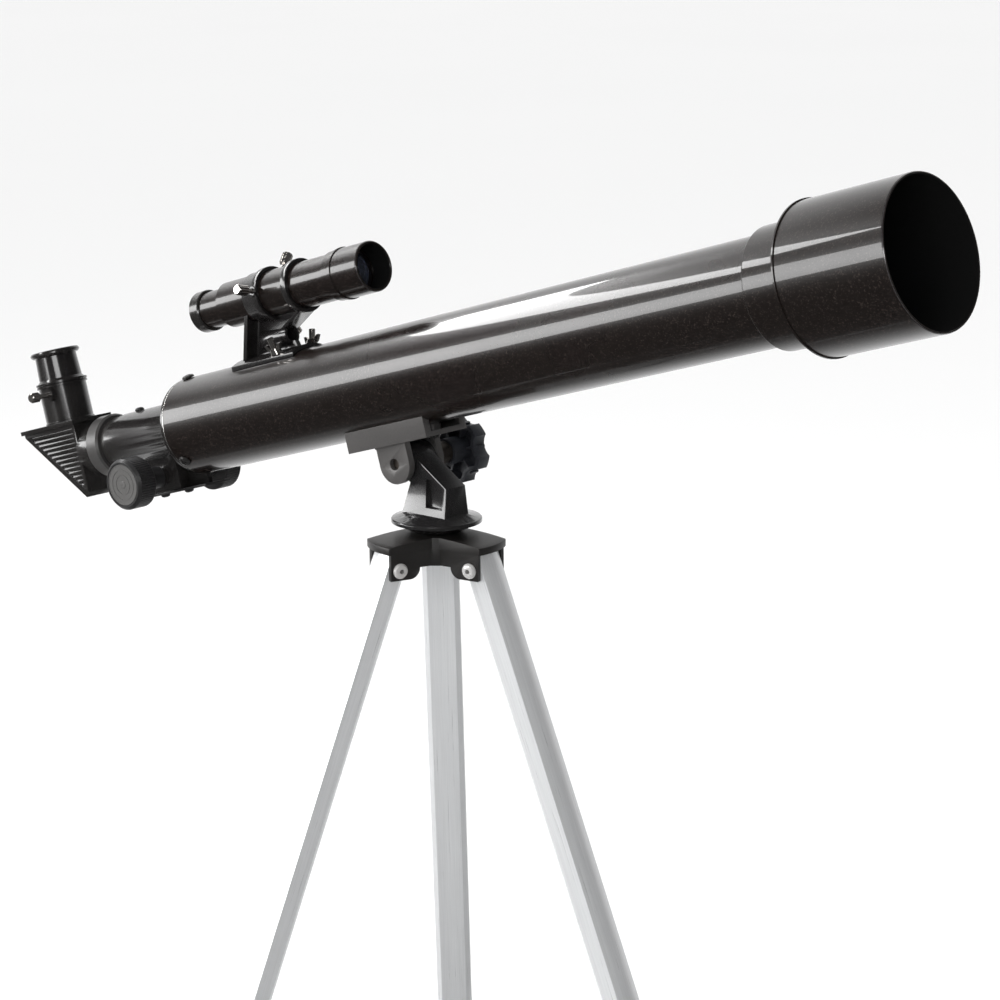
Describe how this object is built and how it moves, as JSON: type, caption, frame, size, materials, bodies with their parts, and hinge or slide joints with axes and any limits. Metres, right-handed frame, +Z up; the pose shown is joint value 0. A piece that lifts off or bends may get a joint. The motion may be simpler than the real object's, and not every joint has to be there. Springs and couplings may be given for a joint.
{
  "type": "telescope_on_tripod",
  "caption": "Small refracting telescope with a finder, a rack focuser and a star diagonal, on an alt-azimuth yoke and a folding aluminium tripod.",
  "frame": {"origin": "on the floor under the tripod's axis", "axes": "+X is the way the tube heads, +Y the side of the altitude knob, +Z up"},
  "size_m": [0.6925, 0.4567, 0.8509],
  "materials": {
    "gloss_black": "gloss black enamel with a fine metallic flake",
    "satin_black": "satin black plastic",
    "dark_casting": "gloss black paint on a casting",
    "satin_grey": "satin grey paint",
    "grey_plastic": "satin grey plastic",
    "nickel": "bright nickel plating",
    "clear_aluminium": "clear anodised extrusion",
    "tube_metal": "polished plating",
    "lens_glass": "clear coated glass",
    "silvered": "silvered front face",
    "foot_rubber": "matt black rubber"
  },
  "bodies": {
    "tripod_head": {"tripod_hub": "dark_casting", "leg_rivets": "nickel"},
    "mount": {"yoke": "dark_casting", "azimuth_bolt": "nickel", "azimuth_nut": "nickel"},
    "optical_tube": {"main_tube": "gloss_black", "objective_cell": "gloss_black", "dew_shield": "gloss_black", "objective_lenses": "lens_glass", "lens_retainer": "satin_black", "focuser_body": "satin_black", "pan_screws": "nickel", "pinion_cover": "satin_black", "focuser_screws": "satin_black", "cradle": "satin_grey", "altitude_bolt": "nickel", "altitude_washer": "nickel", "finder_bracket": "dark_casting", "bracket_hardware": "nickel", "finder_tube": "gloss_black", "finder_shade": "gloss_black", "finder_lenses": "lens_glass", "finder_eyepiece": "satin_black"},
    "altitude_clamp": {"altitude_knob": "satin_black"},
    "finder_screw_a": {"finder_screw_1": "nickel"},
    "finder_screw_b": {"finder_screw_2": "nickel"},
    "finder_screw_c": {"finder_screw_3": "nickel"},
    "focus_drive": {"pinion_shaft": "nickel", "focus_knobs": "grey_plastic"},
    "draw": {"drawtube": "tube_metal", "drawtube_rack": "nickel", "drawtube_collar": "grey_plastic"},
    "diagonal": {"diagonal_nose": "tube_metal", "diagonal_housing": "satin_black", "diagonal_mirror": "silvered", "eyepiece_holder": "satin_black"},
    "holder_clamp": {"holder_screw": "nickel"},
    "eyepiece": {"eyepiece_body": "satin_black", "eyepiece_lenses": "lens_glass"},
    "leg_1": {"upper_leg_1": "clear_aluminium", "leg_collar_1": "satin_black"},
    "leg_slide_1": {"lower_leg_1": "clear_aluminium", "foot_1": "foot_rubber"},
    "leg_lock_1": {"lock_screw_1": "satin_black"},
    "brace_1": {"brace_arm_1": "satin_black"},
    "leg_2": {"upper_leg_2": "clear_aluminium", "leg_collar_2": "satin_black"},
    "leg_slide_2": {"lower_leg_2": "clear_aluminium", "foot_2": "foot_rubber"},
    "leg_lock_2": {"lock_screw_2": "satin_black"},
    "brace_2": {"brace_arm_2": "satin_black"},
    "leg_3": {"upper_leg_3": "clear_aluminium", "leg_collar_3": "satin_black"},
    "leg_slide_3": {"lower_leg_3": "clear_aluminium", "foot_3": "foot_rubber"},
    "leg_lock_3": {"lock_screw_3": "satin_black"},
    "brace_3": {"brace_arm_3": "satin_black"},
    "spreader": {"brace_hub": "satin_black", "tray": "satin_black"},
    "tray_clamp": {"tray_knob": "satin_black"}
  },
  "joints": [
    {"name": "azimuth", "type": "hinge", "parent": "tripod_head", "child": "mount", "pos_m": [0, 0, 0.62629], "axis": [0, 0, 1], "continuous": true},
    {"name": "altitude", "type": "hinge", "parent": "mount", "child": "optical_tube", "pos_m": [-0.0189, 0, 0.65709], "axis": [0, -1, 0], "range_deg": [-35, 40]},
    {"name": "altitude_knob_turn", "type": "hinge", "parent": "optical_tube", "child": "altitude_clamp", "pos_m": [-0.0189, 0.041, 0.65709], "axis": [0, 1, 0], "range_deg": [0, 720]},
    {"name": "finder_screw_turn_1", "type": "hinge", "parent": "optical_tube", "child": "finder_screw_a", "pos_m": [-0.13074, -0.01956, 0.74807], "axis": [-0.0587, -0.9781, 0.1995], "range_deg": [0, 720]},
    {"name": "finder_screw_turn_2", "type": "hinge", "parent": "optical_tube", "child": "finder_screw_b", "pos_m": [-0.13376, 0.01338, 0.75834], "axis": [-0.2098, 0.6691, 0.7129], "range_deg": [0, 720]},
    {"name": "finder_screw_turn_3", "type": "hinge", "parent": "optical_tube", "child": "finder_screw_c", "pos_m": [-0.12449, 0.00877, 0.72684], "axis": [0.2538, 0.4384, -0.8622], "range_deg": [0, 720]},
    {"name": "drawtube_travel", "type": "slide", "parent": "optical_tube", "child": "draw", "axis": [-0.9593, 0, -0.2823], "range_m": [0, 0.06]},
    {"name": "focus_turn", "type": "hinge", "parent": "optical_tube", "child": "focus_drive", "pos_m": [-0.2204, 0, 0.62134], "axis": [0, -1, 0], "range_deg": [0, 430]},
    {"name": "diagonal_turn", "type": "hinge", "parent": "draw", "child": "diagonal", "pos_m": [-0.28385, 0, 0.62935], "axis": [0.9593, 0, 0.2823], "continuous": true},
    {"name": "holder_screw_turn", "type": "hinge", "parent": "diagonal", "child": "holder_clamp", "pos_m": [-0.31766, -0.025, 0.66172], "axis": [0, -1, 0], "range_deg": [0, 720]},
    {"name": "eyepiece_travel", "type": "slide", "parent": "diagonal", "child": "eyepiece", "axis": [-0.2823, 0, 0.9593], "range_m": [0, 0.03]},
    {"name": "leg_fold_1", "type": "hinge", "parent": "tripod_head", "child": "leg_1", "pos_m": [0.03062, 0.00485, 0.60064], "axis": [-0.1564, 0.9877, 0], "range_deg": [0, 18]},
    {"name": "leg_fold_2", "type": "hinge", "parent": "tripod_head", "child": "leg_2", "pos_m": [-0.01951, 0.02409, 0.60064], "axis": [-0.7771, -0.6293, 0], "range_deg": [0, 18]},
    {"name": "leg_fold_3", "type": "hinge", "parent": "tripod_head", "child": "leg_3", "pos_m": [-0.01111, -0.02894, 0.60064], "axis": [0.9336, -0.3584, 0], "range_deg": [0, 18]},
    {"name": "leg_extend_1", "type": "slide", "parent": "leg_1", "child": "leg_slide_1", "axis": [0.341, 0.054, -0.9385], "range_m": [0, 0.4]},
    {"name": "leg_extend_2", "type": "slide", "parent": "leg_2", "child": "leg_slide_2", "axis": [-0.2173, 0.2683, -0.9385], "range_m": [0, 0.4]},
    {"name": "leg_extend_3", "type": "slide", "parent": "leg_3", "child": "leg_slide_3", "axis": [-0.1237, -0.3224, -0.9385], "range_m": [0, 0.4]},
    {"name": "lock_turn_1", "type": "hinge", "parent": "leg_1", "child": "leg_lock_1", "pos_m": [0.24438, 0.03871, 0.05586], "axis": [0.9269, 0.1468, 0.3453], "range_deg": [0, 720]},
    {"name": "lock_turn_2", "type": "hinge", "parent": "leg_2", "child": "leg_lock_2", "pos_m": [-0.15571, 0.19228, 0.05586], "axis": [-0.5906, 0.7293, 0.3453], "range_deg": [0, 720]},
    {"name": "lock_turn_3", "type": "hinge", "parent": "leg_3", "child": "leg_lock_3", "pos_m": [-0.08867, -0.23099, 0.05586], "axis": [-0.3363, -0.8762, 0.3453], "range_deg": [0, 720]},
    {"name": "brace_swing_1", "type": "hinge", "parent": "leg_1", "child": "brace_1", "pos_m": [0.21632, 0.03426, 0.04328], "axis": [-0.1564, 0.9877, 0], "range_deg": [0, 31.5]},
    {"name": "brace_swing_2", "type": "hinge", "parent": "leg_2", "child": "brace_2", "pos_m": [-0.13783, 0.17021, 0.04328], "axis": [-0.7771, -0.6293, 0], "range_deg": [0, 31.5]},
    {"name": "brace_swing_3", "type": "hinge", "parent": "leg_3", "child": "brace_3", "pos_m": [-0.07849, -0.20447, 0.04328], "axis": [0.9336, -0.3584, 0], "range_deg": [0, 31.5]},
    {"name": "spreader_travel", "type": "slide", "parent": "tripod_head", "child": "spreader", "axis": [0, 0, 1], "range_m": [0, 0.06]},
    {"name": "tray_knob_turn", "type": "hinge", "parent": "spreader", "child": "tray_clamp", "pos_m": [0, 0, 0.20986], "axis": [0, 0, 1], "range_deg": [0, 720]}
  ],
  "couplings": [
    {"joint": "focus_turn", "follows": "drawtube_travel", "rad_per_m": 125},
    {"joint": "leg_fold_2", "follows": "leg_fold_1", "ratio": 1},
    {"joint": "leg_fold_3", "follows": "leg_fold_1", "ratio": 1},
    {"joint": "brace_swing_1", "follows": "leg_fold_1", "ratio": 1.735},
    {"joint": "brace_swing_2", "follows": "leg_fold_1", "ratio": 1.735},
    {"joint": "brace_swing_3", "follows": "leg_fold_1", "ratio": 1.735},
    {"joint": "spreader_travel", "follows": "leg_fold_1", "m_per_rad": 0.179}
  ]
}
